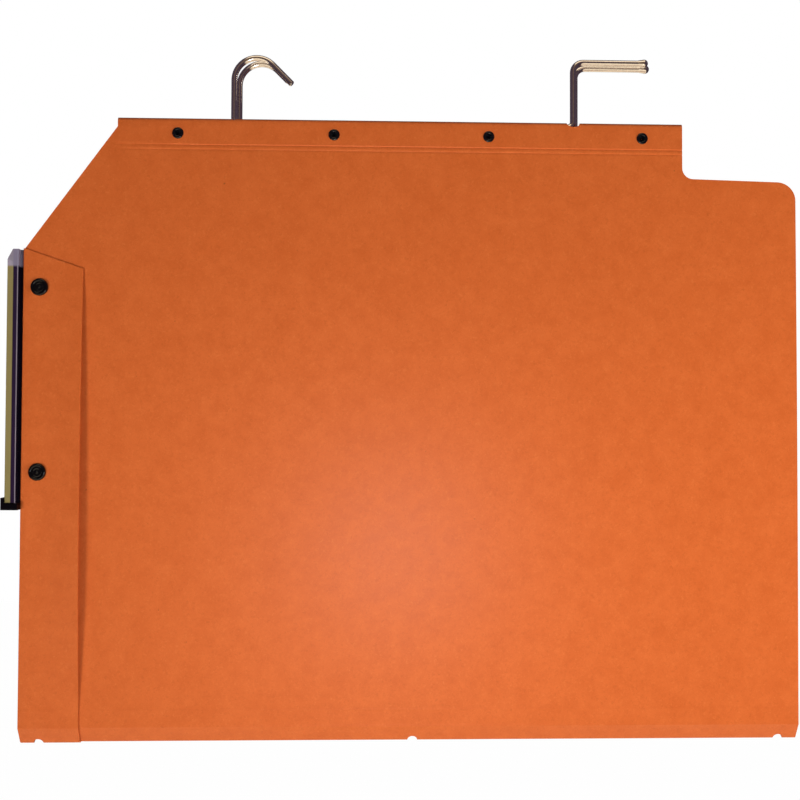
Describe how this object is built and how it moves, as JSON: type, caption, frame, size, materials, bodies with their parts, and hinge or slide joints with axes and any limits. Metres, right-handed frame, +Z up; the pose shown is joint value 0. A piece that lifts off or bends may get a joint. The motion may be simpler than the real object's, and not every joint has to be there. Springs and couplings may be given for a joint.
{
  "type": "hanging file folder",
  "caption": "Lateral hanging file of folded orange card, with wire hangers in its hems, an expanding creased base and a clear label holder along its edge.",
  "frame": {"origin": "middle of the bend of the front hanger's open hook, halfway between the two hangers, where a rail sits", "axes": "+X along the hems from the label edge to the far edge, -Y out of the front panel, +Z up"},
  "size_m": [0.3682, 0.0152, 0.3196],
  "materials": {
    "orange_card": "matt uncoated card, fine fibre",
    "steel_wire": "bright drawn wire",
    "black_eyelet": "black lacquer",
    "black_stud": "glossy moulded",
    "clear_plastic": "clear extruded, polished",
    "black_plastic": "moulded",
    "label_paper": "plain white paper, bare"
  },
  "bodies": {
    "rear_hanger": {"rear_hanger": "steel_wire"},
    "rear_panel": {"rear_panel": "orange_card", "rear_hem_eyelets": "black_eyelet"},
    "rear_upper_strip": {"rear_upper_strip": "orange_card"},
    "rear_lower_strip": {"rear_lower_strip": "orange_card"},
    "front_lower_strip": {"front_lower_strip": "orange_card"},
    "front_upper_strip": {"front_upper_strip": "orange_card"},
    "front_panel": {"front_panel": "orange_card", "front_hem_eyelets": "black_eyelet", "label_holder": "clear_plastic", "label_end_stop": "black_plastic", "stud_caps": "black_stud", "stud_backs": "black_stud"},
    "front_hanger": {"front_hanger": "steel_wire"},
    "label": {"label_strip": "label_paper"}
  },
  "joints": [
    {"name": "rear_panel_swing", "type": "hinge", "parent": "rear_hanger", "child": "rear_panel", "pos_m": [0, 0.0025, -0.0203], "axis": [1, 0, 0], "range_deg": [-1, 27]},
    {"name": "rear_upper_crease", "type": "hinge", "parent": "rear_panel", "child": "rear_upper_strip", "pos_m": [0, 0.0051, -0.2919], "axis": [1, 0, 0], "range_deg": [0, 45]},
    {"name": "rear_lower_crease", "type": "hinge", "parent": "rear_upper_strip", "child": "rear_lower_strip", "pos_m": [0, 0.004, -0.2994], "axis": [1, 0, 0], "range_deg": [0, 28.1]},
    {"name": "centre_fold", "type": "hinge", "parent": "rear_lower_strip", "child": "front_lower_strip", "pos_m": [0, 0, -0.30667], "axis": [1, 0, 0], "range_deg": [0, 121.4]},
    {"name": "front_lower_crease", "type": "hinge", "parent": "front_lower_strip", "child": "front_upper_strip", "pos_m": [0, -0.004, -0.2994], "axis": [1, 0, 0], "range_deg": [0, 28.1]},
    {"name": "front_upper_crease", "type": "hinge", "parent": "front_upper_strip", "child": "front_panel", "pos_m": [0, -0.0051, -0.2919], "axis": [1, 0, 0], "range_deg": [0, 45]},
    {"name": "front_hanger_swing", "type": "hinge", "parent": "front_panel", "child": "front_hanger", "pos_m": [0, -0.0025, -0.0203], "axis": [1, 0, 0], "range_deg": [-1, 27]},
    {"name": "label_slides_out", "type": "slide", "parent": "front_panel", "child": "label", "axis": [0, 0, 1], "range_m": [0, 0.11]}
  ]
}
